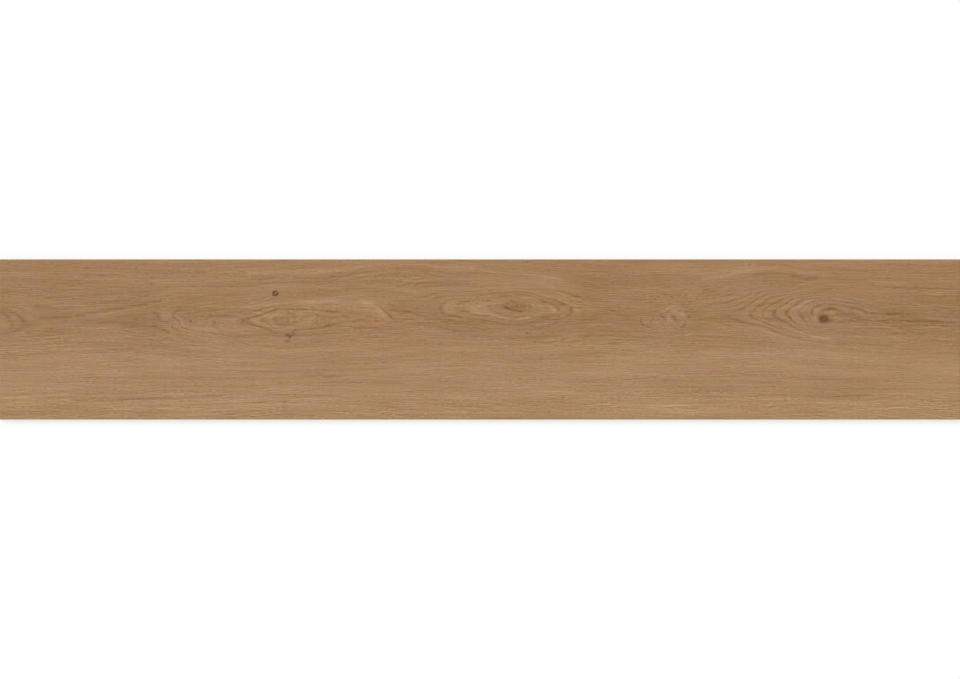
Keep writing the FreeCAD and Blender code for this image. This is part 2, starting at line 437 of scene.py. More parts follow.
# Spots of the figure that are small and crisp
MARKS = [Mark(*row) for row in (
    # Round the cathedral
    (190, 320.8, 1.5, 1.1, -0.7), (155.8, 312.3, 4.6, 0.6, -0.5, 8), (165.5, 320.9, 5.8, 0.6, -0.45),
    (165.3, 322.9, 5.2, 0.6, -0.3), (172, 325.6, 0.8, 2.2, -0.35), (175.6, 329.4, 4.6, 0.7, -0.35, 30),
    (154, 325.8, 3.4, 0.9, -0.3, 10), (165.5, 330.4, 4, 1.0, -0.25, 27), (155.5, 331.7, 8, 0.6, -0.35),
    (186, 328.3, 5.4, 0.6, -0.4, 17), (177.6, 316.8, 4.2, 1.0, 0.3, 40), (181.8, 323.2, 4.0, 1.0, 0.3, 62),
    # Round the lens
    (274.9, 292.9, 2.9, 2.5, -1.5), (275.3, 292.6, 1.9, 0.8, 1.1, -40), (287.4, 334.4, 2.7, 1.4, -0.8),
    (289.4, 336.8, 1.2, 2.2, -0.65), (286.6, 340.7, 2.4, 1.3, -0.6, 10), (292.6, 334, 2.8, 1.0, -0.55, -32),
    (293.4, 330.4, 3.4, 0.8, -0.4, -55), (317.5, 314.6, 2.2, 0.6, -0.3, 25),
    (316.8, 317, 2, 0.6, -0.3, -35), (316, 321.5, 2.4, 0.6, -0.3, -40), (388.2, 314.3, 8.6, 0.9, -0.42, 43),
    (267.5, 298.2, 4.8, 0.6, 0.3, -25), (267, 299.6, 4.8, 0.6, -0.3, -18),
    # Round the large oval
    (465, 301, 6, 0.6, -0.4), (475, 298.5, 2.6, 0.6, -0.4, -45), (459.6, 303.3, 3.8, 0.8, -0.35),
    (459.8, 307, 4, 0.6, -0.35), (561.5, 302.4, 5, 0.7, -0.4, 23), (575, 306.7, 6.5, 0.6, -0.35),
    (579.5, 301.3, 3.8, 0.6, -0.35), (573.2, 304.6, 3.8, 0.7, 0.22, 24), (575.5, 296, 4.6, 0.6, -0.35),
    (527, 333, 2, 0.9, -0.55, 20), (543.5, 301.4, 3.2, 1.1, -0.4, 10), (571.3, 309, 1.0, 3.2, -0.25),
    (533, 305, 2.8, 0.8, 0.35, 45), (552.5, 308.5, 4.4, 1.4, 0.28, 38), (563, 315, 3.2, 0.8, 0.35, -18),
    (612.5, 310, 2.6, 1.0, -0.3), (512.5, 309.7, 8.2, 1.0, -0.45, 12),
    # Round the swirl
    (684, 324.6, 2.1, 1.4, -0.51, -15), (681.5, 327, 1.4, 0.9, -0.31, -40),
    (669.8, 302.9, 2.2, 0.6, -0.31, -25), (667.2, 308.7, 1.3, 0.9, 0.47), (670, 306.3, 3.2, 0.7, 0.35, -28),
    (675.5, 304.9, 3.4, 0.6, 0.31, -12), (664, 309.7, 2, 0.6, 0.23, -10), (667.7, 311.2, 1.0, 1.8, -0.43),
    (662.6, 316.8, 2.9, 1.5, -0.35, 35), (650, 321.5, 1.1, 1.8, -0.27), (656, 321.4, 3.6, 1.5, 0.16),
    (686.5, 311.2, 3.0, 0.6, -0.27), (663.5, 309.9, 3.0, 1.1, 0.16), (657, 310.6, 4.0, 0.7, -0.23),
    (645.5, 330, 4.5, 0.6, 0.23, 22), (646.5, 328.9, 4.5, 0.6, -0.23, 22), (669, 302, 7, 0.6, 0.23, -6),
    (659, 304.2, 7, 0.6, -0.23), (673.8, 317, 3.8, 1.3, -0.47, 48), (668, 318.2, 0.9, 3.0, 0.31, 8),
    (670.3, 320.5, 2.6, 0.8, 0.31, 40), (674, 322.7, 2.4, 0.7, 0.23, 40), (676, 326.2, 4.0, 0.6, 0.2, 28),
    (673.5, 311.2, 2.8, 1.8, 0.27), (681, 313.5, 5.2, 1.1, 0.35, 4), (688, 316.8, 2.6, 2.2, -0.23),
    (690.4, 309, 2.2, 0.8, -0.31, 10), (652, 317.6, 1.5, 1.1, -0.39), (658.5, 315, 2, 0.7, -0.27),
    (640.5, 320.3, 0.8, 2.6, -0.35), (642, 324, 2.2, 0.8, -0.31, 50), (647.5, 326.4, 3.6, 0.8, -0.31, 15),
    (640.3, 324.8, 2, 0.7, 0.27, 50), (646, 327.8, 4.2, 0.7, 0.31, 18), (647, 321.7, 3, 0.9, 0.27, -10),
    (690, 333.3, 6.5, 0.7, 0.23, -16),
    # Round the knot and its tail
    (823.2, 318.4, 4.3, 3.4, -0.9), (823.6, 318.4, 6.6, 4.6, -0.3), (829.5, 318.7, 3, 1.2, -0.3),
    (824.8, 317.2, 2.6, 0.5, 0.2, 62), (925, 320.8, 24, 0.8, -0.22, 2), (826, 338, 5, 1.2, 0.3),
    (816, 336.5, 6, 1.2, 0.25), (789.5, 317.3, 1.6, 1.6, -0.3), (802.5, 317.2, 1.6, 1.6, -0.3),
    (811, 311.5, 1.4, 3, -0.2), (796, 303.5, 1.6, 1.2, -0.2), (787, 302.5, 2, 1.2, -0.2),
)]

# Spots of the figure that are broad and soft
PATCHES = [Mark(*row) for row in (
    # At the left end
    (4, 324.5, 4, 2.5, 0.4), (28.5, 324.6, 5.5, 2.4, -0.4), (15, 315.5, 3, 2.5, 0.3),
    (27.5, 316, 3.5, 2, 0.3),
    # Round the cathedral
    (213.5, 323.3, 2.2, 2.2, -0.7), (213.5, 309.7, 2.4, 1.0, -0.5), (120.6, 307.8, 2.6, 1.0, -0.45),
    (132, 319.4, 14, 3, -0.25), (157.2, 317.2, 3.6, 4, -0.75), (165, 313.5, 5, 4, 0.55),
    (203, 328, 12, 2, 0.2), (104, 320.8, 26, 2.6, -0.5), (222, 316, 14, 1.2, -0.4),
    # Round the lens
    (243.8, 320.4, 4.6, 3.3, -0.6), (285.5, 321.5, 7, 3.6, -0.15), (366, 302, 9, 2.5, 0.5),
    (379, 312, 4, 4, 0.3), (330, 301, 14, 1, 0.45), (310, 302, 8, 3, 0.3), (356.5, 313.4, 5, 1.6, -0.3),
    (256, 320, 6, 2.5, 0.3), (268, 317.3, 4, 2.5, 0.25), (305, 316, 10, 5, 0.2),
    (326, 322.5, 4, 2.6, -0.35), (331, 324, 4, 1.1, -0.4), (399, 302, 5, 2, -0.25),
    # Round the large oval
    (449, 306, 4, 5, 0.4), (476, 306, 9, 5, 0.4), (553, 310, 4, 2, 0.5), (564, 310, 4, 2, 0.35),
    (577, 310, 3, 3.5, 0.35), (545.5, 317.5, 4, 2.4, -0.45), (609, 309.6, 7, 2.4, -0.4),
    (568.5, 314, 2.5, 2.5, -0.35), (557, 307, 3.5, 1.5, -0.4), (516, 306, 13, 4, -0.6),
    (516, 321, 12, 1.4, -0.3), (486, 306, 4, 1.4, -0.6),
    # Round the swirl
    (660, 332, 15, 3, 0.12), (672, 314, 9, 5, 0.12),
    # Round the knot and its tail
    (712, 318.6, 11, 1.8, -0.35), (709, 314.4, 6, 1.6, 0.3), (757, 313, 5, 4, 0.3), (767, 313, 2.5, 4, 0.3),
    (780, 311, 3, 1.5, 0.3), (814, 322, 3, 2, 0.25), (774.5, 313, 3, 4, -0.3), (787, 314, 2.5, 3.5, -0.25),
    (799, 312, 1.5, 4, -0.2), (866, 320.8, 30, 1.2, -0.3), (890, 320.7, 8, 1.6, -0.4),
    (925, 320.6, 18, 1.4, -0.6),
    # In the plain grain below
    (284, 405.5, 2.2, 5, -0.4),
    # Broad areas
    (60, 300, 90, 40, -0.05), (120, 350, 130, 50, -0.05), (285, 390, 48, 10, 0.2), (60, 407, 70, 9, -0.16),
    (680, 408, 45, 6, 0.16), (930, 346, 60, 12, -0.22), (930, 308, 70, 16, -0.14), (350, 306, 60, 10, 0.12),
    (850, 385, 110, 14, -0.12),
)]

# Where the plain grain arches up, and where it sags, in pixels
GRAIN_ARCHES = [Mark(*row) for row in (
    (400, 266, 80, 14, 12), (505, 292, 63, 12, 8), (520, 337, 50, 14, -5), (800, 297, 58, 12, 11),
    (960, 338, 125, 22, -14), (800, 326, 42, 9, -4), (105, 332, 75, 14, 7), (285, 340, 46, 19, -6),
    (300, 303, 108, 12, 11), (765, 272, 63, 12, 6), (605, 332, 38, 10, 3.5), (280, 405, 142, 18, 7),
)]

# Where the face is redder, and where it is yellower, in screen levels
RED_PATCHES = [Mark(*row) for row in (
    (100, 268, 60, 10, 1.6), (480, 262, 480, 6, 0.8), (225, 290, 28, 18, 0.9), (312, 287, 20, 12, 2.6),
    (395, 328, 30, 11, 1.9), (595, 285, 92, 24, 2.0), (511, 330, 7, 28, 1.6), (592, 325, 34, 9, 0.8),
    (738, 333, 18, 11, 2.0), (914, 350, 11, 11, 2.4), (865, 280, 105, 20, 1.6), (303, 392, 10, 26, -3.2),
    (478, 387, 12, 9, -3.2), (210, 397, 34, 8, -2.2), (30, 395, 11, 8, -2.2), (650, 386, 36, 14, -1.6),
    (680, 403, 11, 24, -2.4), (815, 325, 14, 20, -1.2), (400, 393, 70, 7, -1.0),
)]
YELLOW_PATCHES = [Mark(*row) for row in (
    (815, 322, 18, 22, -2.6), (665, 320, 12, 10, -2.2), (660, 332, 24, 14, -1.2), (938, 319, 10, 9, -2.4),
    (20, 290, 9, 8, -2.4), (308, 388, 8, 8, -1.6), (160, 355, 165, 38, -1.3), (452, 320, 17, 60, -1.2),
    (725, 280, 32, 20, -1.2), (785, 345, 50, 34, -1.0), (610, 378, 160, 9, -1.0), (213, 300, 36, 20, 1.2),
    (365, 318, 58, 36, 1.0), (580, 320, 100, 45, 0.8), (920, 365, 60, 40, 0.7), (480, 262, 480, 7, 1.3),
    (480, 416, 480, 7, 1.3), (720, 400, 240, 12, 0.6), (47, 330, 16, 11, 1.6), (32, 398, 20, 16, 1.5),
    (92, 408, 30, 8, 1.2), (702, 316, 8, 16, 1.4), (925, 288, 16, 16, 1.2),
)]

# Broad lightness of the face, in screen levels, by pixel row
TONE_BY_ROW = (
    (260, -1), (285, -4), (300, -3.5), (315, -6), (333, -3.5), (345, 1), (363, 5), (378, 3.2), (400, 8),
    (418, 5),
)

# How strongly the fine fibres show, by pixel row
GRAIN_BY_ROW = (
    (260, 0.78), (284, 0.84), (296, 1.05), (338, 1.05), (350, 0.86), (386, 0.88), (398, 1.2), (418, 1.2),
)


def resample(path):
    """Points about a knot's step apart along a path of pixels."""
    path = np.array(path, float)
    along = np.concatenate(([0.0], np.cumsum(np.hypot(*np.diff(path, axis=0).T))))
    stops = np.linspace(0.0, along[-1], max(2, round(along[-1] / KNOT_STEP) + 1))
    return np.column_stack([np.interp(stops, along, path[:, axis]) for axis in (0, 1)])


def follow(column, table, blur):
    """The value that a table of (column, value) has at each column, rounded off over blur pixels."""
    lattice = np.arange(-HEART_MARGIN, PHOTO_SIZE[0] + HEART_MARGIN + 1)
    values = np.interp(lattice, *np.transpose(table))
    reach = np.arange(-3 * blur, 3 * blur + 1)
    weights = np.exp(-0.5 * (reach / blur) ** 2)
    padded = np.pad(values, len(reach) // 2, mode="edge")
    return np.interp(column, lattice, np.convolve(padded, weights / weights.sum(), "valid"))


def plain_rings(column, row):
    """Ring number before the drawn lines pull on it: long ovals stacked along the heart line."""
    near = np.exp(-(((row - MEAN_HEART_ROW) / BEND_REACH) ** 2))
    depth = MEAN_HEART_DEPTH + near * (follow(column, HEART_DEPTH, HEART_DEPTH_BLUR) - MEAN_HEART_DEPTH)
    heart = MEAN_HEART_ROW + near * (follow(column, HEART_LINE, HEART_LINE_BLUR) - MEAN_HEART_ROW)
    return np.hypot(depth, (row - heart) / RING_HEIGHT)


def distance(points, knots, reach):
    """How far every point lies from every knot, where one is a reach along the tile or a reach across it."""
    along = (points[:, None, 0] - knots[:, 0]) / reach[0]
    across = (points[:, None, 1] - knots[:, 1]) / reach[1]
    return np.hypot(along, across)


def pull(points, knots):
    """How much each knot of the drawn lines pulls on each point: one at the knot, fading with distance."""
    total = 0.0
    for share, reach in ((WIDE_PULL, WIDE_PULL_REACH), (CLOSE_PULL, CLOSE_PULL_REACH)):
        far = math.sqrt(5) * distance(points, knots, reach)
        total = total + share * (1 + far + far * far / 3) * np.exp(-far)
    return total


def oak_figure(column, row):
    """Ring number at each pixel, how strongly a drawn line shows there, and how near the drawn lines are."""
    paths = [resample(line.path) for line in RING_LINES]
    counts = [len(path) for path in paths]
    knots = np.concatenate(paths)
    rings = np.repeat([line.ring for line in RING_LINES], counts)
    strengths = np.repeat([line.strength for line in RING_LINES], counts)
    residual = rings - plain_rings(*knots.T)
    weights = np.linalg.solve(pull(knots, knots) + PULL_SLACK * np.eye(len(knots)), residual)
    parts = []
    for part in np.array_split(np.column_stack([column.ravel(), row.ravel()]), FIELD_PARTS):
        ring = plain_rings(*part.T) + pull(part, knots) @ weights
        off = (ring[:, None] - rings) / RING_REACH
        near = np.exp(-0.5 * distance(part, knots, LINE_REACH) ** 2 - off**2) * strengths
        shown = np.maximum(near.max(axis=1), PLAIN_STRENGTH)
        nearness = np.exp(-0.5 * distance(part, knots, CALM_REACH).min(axis=1) ** 2)
        parts.append((ring, shown, nearness))
    return [np.concatenate(values).reshape(column.shape) for values in zip(*parts)]


def soft_patches(column, row, patches):
    """What soft spots add up to at each pixel."""
    total = np.zeros_like(column)
    for patch in patches:
        across = (column - patch.column) / patch.half_length
        down = (row - patch.row) / patch.half_height
        total += patch.tone * np.exp(-PATCH_FALL * (across**2 + down**2))
    return total


def soft_strokes(column, row):
    """What the strokes add up to at each pixel."""
    total = np.zeros_like(column)
    for stroke in STROKES:
        away = np.full_like(column, np.inf)
        for (start_column, start_row), (end_column, end_row) in zip(stroke.path, stroke.path[1:]):
            run = end_column - start_column
            fall = end_row - start_row
            share = ((column - start_column) * run + (row - start_row) * fall) / (run**2 + fall**2)
            share = np.clip(share, 0.0, 1.0)
            here = np.hypot(column - start_column - share * run, row - start_row - share * fall)
            away = np.minimum(away, here)
        total += stroke.tone * np.exp(-((away / stroke.half_height) ** 2))
    return total


def ease(share):
    """A share from 0 to 1 that starts and ends gently."""
    return share * share * (3 - 2 * share)


def smooth_noise(across, down, size, seed):
    """Seeded noise from 0 to 1 over two coordinates, with features of the given size."""
    across = (across - across.min()) / size[0]
    down = (down - down.min()) / size[1]
    lattice = np.random.default_rng(seed).random((int(down.max()) + 2, int(across.max()) + 2))
    row = down.astype(int)
    column = across.astype(int)
    below = ease(down - row)
    right = ease(across - column)
    upper = lattice[row, column] * (1 - right) + lattice[row, column + 1] * right
    lower = lattice[row + 1, column] * (1 - right) + lattice[row + 1, column + 1] * right
    return upper * (1 - below) + lower * below


# The face: a grid of vertices, its figure and its relief
unit_x = np.linspace(-1.0, 1.0, FACE_COLUMNS + 1)
unit_y = np.linspace(-1.0, 1.0, FACE_ROWS + 1)
grid_u, grid_v = np.meshgrid(unit_x, unit_y)
face_half_length = HALF_LENGTH - FACE_ARRIS
face_half_width = HALF_WIDTH - FACE_ARRIS
grid_x = grid_u * face_half_length
grid_y = grid_v * face_half_width
grid_column = MIDDLE_COLUMN + grid_x / PIXEL
grid_row = MIDDLE_ROW - grid_y / PIXEL

ring, figure, nearness = oak_figure(grid_column, grid_row)
slope_down, slope_across = np.gradient(ring, unit_y * face_half_width, unit_x * face_half_length)
ring_gap = 1.0 / np.maximum(np.hypot(slope_across, slope_down), 1.0)
too_wide = np.maximum(ring_gap - WIDEST_GAP, 0.0)
figure = figure * np.exp(-((too_wide / WIDEST_GAP_FADE) ** 2))
broad_tone = (
    soft_patches(grid_column, grid_row, PATCHES) * PATCH_TONE
    + soft_strokes(grid_column, grid_row) * STROKE_TONE
    + np.interp(grid_row, *np.transpose(TONE_BY_ROW))
)
face_values = {
    "ring": ring,
    "figure": figure,
    "broad_tone": broad_tone,
    "grain": np.interp(grid_row, *np.transpose(GRAIN_BY_ROW)) * (1.0 - FIGURE_CALM * nearness),
    "lift": soft_patches(grid_column, grid_row, GRAIN_ARCHES) * PIXEL,
    "redness": soft_patches(grid_column, grid_row, RED_PATCHES),
    "yellowness": soft_patches(grid_column, grid_row, YELLOW_PATCHES),
}

from_line = (ring - np.round(ring)) * ring_gap
line_groove = figure * np.exp(-((from_line / LINE_GROOVE_WIDTH) ** 2))
fibre = smooth_noise(grid_x, grid_y, FIBRE_GROOVE_SIZE, RELIEF_SEED)
fibre_groove = np.maximum(2.0 * fibre - 1.0, 0.0)
swell = smooth_noise(grid_x, ring * RING_HEIGHT * PIXEL, SWELL_SIZE, RELIEF_SEED + 1)
relief = LINE_GROOVE_DEPTH * line_groove + FIBRE_GROOVE_DEPTH * fibre_groove + SWELL_DEPTH * swell

# The face's border slides down its bevel where the relief cuts it, so the bevel stays flat
on_border = (np.abs(grid_u) == 1.0) | (np.abs(grid_v) == 1.0)
slide = np.where(on_border, relief, 0.0)
face_points = np.stack(
    [grid_u * (face_half_length + slide), grid_v * (face_half_width + slide), THICKNESS - relief], axis=-1
).reshape(-1, 3)


def grid_quads(rows, columns):
    """Corner numbers of the quads of a grid whose vertices are numbered row by row."""
    corner = (np.arange(rows)[:, None] * (columns + 1) + np.arange(columns)).ravel()
    return np.stack([corner, corner + 1, corner + columns + 2, corner + columns + 1], axis=-1)


def rim(rows, columns):
    """Vertex numbers round the border of such a grid, anticlockwise from its first vertex."""
    numbers = np.arange((rows + 1) * (columns + 1)).reshape(rows + 1, columns + 1)
    return np.concatenate([numbers[0, :-1], numbers[:-1, -1], numbers[-1, :0:-1], numbers[:0:-1, 0]])


def band_quads(upper, lower):
    """Quads between two closed loops of equal length that run anticlockwise seen from above."""
    return np.stack([upper, lower, np.roll(lower, -1), np.roll(upper, -1)], axis=-1)


def zip_triangles(outer, inner, outer_place, inner_place):
    """Triangles between two closed loops of different length, matched by their place round the tile."""
    triangles = []
    at_outer = 0
    at_inner = 0
    while at_outer < len(outer) or at_inner < len(inner):
        first = outer[at_outer % len(outer)]
        second = inner[at_inner % len(inner)]
        if outer_place[at_outer + 1] <= inner_place[at_inner + 1]:
            at_outer += 1
            third = outer[at_outer % len(outer)]
        else:
            at_inner += 1
            third = inner[at_inner % len(inner)]
        triangles.append((first, second, third))
    return np.array(triangles)


def place_round(points):
    """How far round its rectangle each point of a loop lies, one per side, then 4 and an end out of reach."""
    half_length, half_width, _ = points.max(axis=0)
    along = 0.5 + 0.5 * points[:, 0] / half_length
    up = 0.5 + 0.5 * points[:, 1] / half_width
    on_side = [up <= ROUNDING, along >= 1 - ROUNDING, up >= 1 - ROUNDING]
    place = np.select(on_side, [along, 1 + up, 3 - along], default=4 - up)
    return np.append(place, [4.0, math.inf])


def key_lines(extent):
    """Where the edges of the back's cells lie across one extent, and which of them bound a cell's floor."""
    room = extent - 2 * KEY_BORDER + KEY_RIB_WIDTH
    count = round(room / KEY_PITCH)
    spacing = room / count
    half_mouth = (spacing - KEY_RIB_WIDTH) / 2
    half_floor = half_mouth - KEY_DEPTH * math.tan(KEY_DRAFT_ANGLE)
    centres = (np.arange(count) - (count - 1) / 2) * spacing
    edges = np.array([-half_mouth, -half_floor, half_floor, half_mouth])
    return (centres[:, None] + edges).ravel(), np.tile([False, True, True, False], count)


# The bevels and the sides: loops below the rim of the face
face_rim = rim(FACE_ROWS, FACE_COLUMNS)
rim_u = grid_u.ravel()[face_rim]
rim_v = grid_v.ravel()[face_rim]
loops_below = {
    "bevel": (HALF_LENGTH, HALF_WIDTH, THICKNESS - FACE_ARRIS),
    "side": (HALF_LENGTH, HALF_WIDTH, BACK_ARRIS),
    "back_bevel": (HALF_LENGTH - BACK_ARRIS, HALF_WIDTH - BACK_ARRIS, 0.0),
}
points = [face_points]
groups = {"face": grid_quads(FACE_ROWS, FACE_COLUMNS)}
loop = face_rim
count = len(face_points)
for name, (half_length, half_width, height) in loops_below.items():
    upper_loop = loop
    loop = np.arange(count, count + len(face_rim))
    loop_points = np.stack([rim_u * half_length, rim_v * half_width, np.full(len(loop), height)], axis=-1)
    points.append(loop_points)
    groups[name] = band_quads(upper_loop, loop)
    count += len(loop)

# The back: cells with sloping walls, and a plain border round them
key_x, floor_x = key_lines(2 * HALF_LENGTH)
key_y, floor_y = key_lines(2 * HALF_WIDTH)
back_x, back_y = np.meshgrid(key_x, key_y)
back_z = np.where(floor_y[:, None] & floor_x, KEY_DEPTH, 0.0)
back_points = np.stack([back_x, back_y, back_z], axis=-1).reshape(-1, 3)
back_quads = grid_quads(len(key_y) - 1, len(key_x) - 1)[:, ::-1]
back_rim = rim(len(key_y) - 1, len(key_x) - 1)

# A quad with one deep corner isn't flat, so it becomes two triangles that meet at that corner
deep = back_z.ravel()[back_quads] > 0.0
cell_corner = deep.sum(axis=1) == 1
from_deep = (np.arange(4) + deep.argmax(axis=1)[:, None]) % 4
corner_quads = np.take_along_axis(back_quads, from_deep, axis=1)[cell_corner]
points.append(back_points)
groups["back"] = back_quads[~cell_corner] + count
groups["back_corners"] = np.concatenate([corner_quads[:, [0, 1, 2]], corner_quads[:, [0, 2, 3]]]) + count
groups["back_border"] = zip_triangles(
    loop, back_rim + count, place_round(loop_points), place_round(back_points[back_rim])
)

all_points = np.concatenate(points)
all_faces = [corners for group in groups.values() for corners in group.tolist()]
face_group = np.repeat(list(groups), [len(group) for group in groups.values()])
mesh = bpy.data.meshes.new("plank_tile_dressed")
mesh.from_pydata(all_points.tolist(), [], all_faces)
mesh.polygons.foreach_set("use_smooth", face_group == "face")
mesh.polygons.foreach_set("material_index", np.where(face_group == "face", 0, 1))

# Every vertex of the face carries its values for the materials, and the vertices below it carry zero
for name, values in face_values.items():
    padded = np.zeros(len(all_points), np.float32)
    padded[: values.size] = values.ravel()
    mesh.attributes.new(name, "FLOAT", "POINT").data.foreach_set("value", padded)


class Graph:
    """A short way to write the nodes of a material or a world. Most methods return an output socket."""

    def __init__(self, owner):
        owner.use_nodes = True
        self.owner = owner
        self.nodes = owner.node_tree.nodes
        self.links = owner.node_tree.links
        self.shader = self.nodes.get("Principled BSDF") or self.nodes.get("Background")

    def feed(self, socket, value):
        """Links a socket to another one, or sets a plain value on it."""
        if isinstance(value, bpy.types.NodeSocket):
            self.links.new(value, socket)
        else:
            socket.default_value = value

    def give(self, name, value):
        """Links or sets one of the shader's own inputs."""
        self.feed(self.shader.inputs[name], value)

    def add(self, kind, inputs, **settings):
        """A node of that kind, with its inputs by place or name, and its settings."""
        node = self.nodes.new(kind)
        for setting, value in settings.items():
            setattr(node, setting, value)
        for key, value in inputs.items():
            self.feed(node.inputs[key], value)
        return node

    def math(self, operation, first, second=0.0):
        return self.add("ShaderNodeMath", {0: first, 1: second}, operation=operation).outputs[0]

    def vector_math(self, operation, first, second):
        node = self.add("ShaderNodeVectorMath", {0: first, 1: second}, operation=operation)
        return node.outputs["Value" if operation == "DOT_PRODUCT" else "Vector"]

    def scaled(self, vector, amount):
        """A fixed vector times an amount."""
        return self.add("ShaderNodeVectorMath", {0: vector, "Scale": amount}, operation="SCALE").outputs[0]

    def times(self, first, second):
        return self.math("MULTIPLY", first, second)

    def total(self, *terms):
        result = terms[0]
        for term in terms[1:]:
            result = self.math("ADD", result, term)
        return result

    def around_zero(self, value, amount):
        """A value from 0 to 1 turned into one that swings by amount round zero."""
        return self.times(self.math("SUBTRACT", value, 0.5), amount)

    def between(self, share, low, high):
        """From low, where the share is zero, to high, where it is one."""
        return self.total(self.times(share, high - low), low)

    def bell(self, value, width):
        """One where the value is zero, fading within a width to either side."""
        scaled = self.math("DIVIDE", value, width)
        return self.math("EXPONENT", self.times(self.times(scaled, scaled), -1.0))

    def step(self, value, low, high, start=0.0, end=1.0):
        """The start value below low, the end value above high, smooth between them."""
        inputs = {"Value": value, "From Min": low, "From Max": high, "To Min": start, "To Max": end}
        return self.add("ShaderNodeMapRange", inputs, interpolation_type="SMOOTHSTEP").outputs[0]

    def attribute(self, name):
        return self.add("ShaderNodeAttribute", {}, attribute_name=name).outputs["Fac"]

    def position(self):
        """The place on the tile, as a vector and as its three coordinates."""
        vector = self.add("ShaderNodeTexCoord", {}).outputs["Object"]
        return vector, *self.add("ShaderNodeSeparateXYZ", {0: vector}).outputs

    def noise(self, layer, first, second, third=None):
        """A layer's noise from 0 to 1, over three coordinates, or over two in the layer's own slice."""
        coordinates = (first, second, layer.slice if third is None else third)
        vector = self.add("ShaderNodeCombineXYZ", dict(enumerate(coordinates))).outputs[0]
        scaled = self.vector_math("MULTIPLY", vector, [1.0 / length for length in layer.size])
        inputs = {"Vector": scaled, "Scale": 1.0, "Detail": layer.detail, "Roughness": layer.roughness}
        value = self.add("ShaderNodeTexNoise", inputs).outputs[0]
        return self.step(value, *layer.rise) if layer.rise else value

    def shift(self, layer, *place):
        """How far a layer moves what it acts on: from zero up where it has a rise, or else either way."""
        value = self.noise(layer, *place)
        return self.times(value, layer.amount) if layer.rise else self.around_zero(value, layer.amount)

    def shades(self, tone, middle):
        """A colour in screen levels made darker and lighter by a tone, as a ramp."""
        place = self.total(self.math("DIVIDE", tone, 2 * TONE_SPREAD), 0.5)
        node = self.add("ShaderNodeValToRGB", {0: place})
        reach = TONE_SPREAD * np.array(SHADE_OF_CHANNEL)
        elements = node.color_ramp.elements
        while len(elements) < SHADE_STOPS:
            elements.new(0.5)
        for element, stop in zip(elements, np.linspace(-1.0, 1.0, SHADE_STOPS)):
            element.position = 0.5 + 0.5 * stop
            element.color = (*linear(middle + stop * reach), 1.0)
        return node.outputs[0]

    def bump(self, height, strength, distance):
        inputs = {"Height": height, "Strength": strength, "Distance": distance}
        return self.add("ShaderNodeBump", inputs).outputs[0]

    def seen(self):
        """One for rays from the camera, a mirror or glass, and zero for rays that only carry light."""
        rays = self.add("ShaderNodeLightPath", {}).outputs
        mirrored = self.math("MAXIMUM", rays["Is Glossy Ray"], rays["Is Transmission Ray"])
        return self.math("MAXIMUM", rays["Is Camera Ray"], mirrored)


def linear(levels):
    """A colour in screen levels from 0 to 255 as the linear colour that renders as it, by the sRGB curve."""
    share = np.clip(levels / 255.0, 0.0, 1.0)
    return np.where(share <= 0.04045, share / 12.92, ((share + 0.055) / 1.055) ** 2.4)


def mark_tone(graph, place, mark):
    """Tone of one crisp spot: full inside its oval, with a soft rim."""
    centre = Vector(((mark.column - MIDDLE_COLUMN) * PIXEL, (MIDDLE_ROW - mark.row) * PIXEL, 0.0))
    turn = -math.radians(mark.turn)
    along = Vector((math.cos(turn), math.sin(turn), 0.0)) / (mark.half_length * PIXEL)
    across = Vector((-math.sin(turn), math.cos(turn), 0.0)) / (mark.half_height * PIXEL)
    offset = graph.vector_math("SUBTRACT", place, centre)
    far_along = graph.vector_math("DOT_PRODUCT", offset, along)
    far_across = graph.vector_math("DOT_PRODUCT", offset, across)
    squares = graph.total(graph.times(far_along, far_along), graph.times(far_across, far_across))
    away = graph.math("SQRT", squares)
    return graph.step(away, *MARK_RIM, start=mark.tone * MARK_TONE, end=0.0)


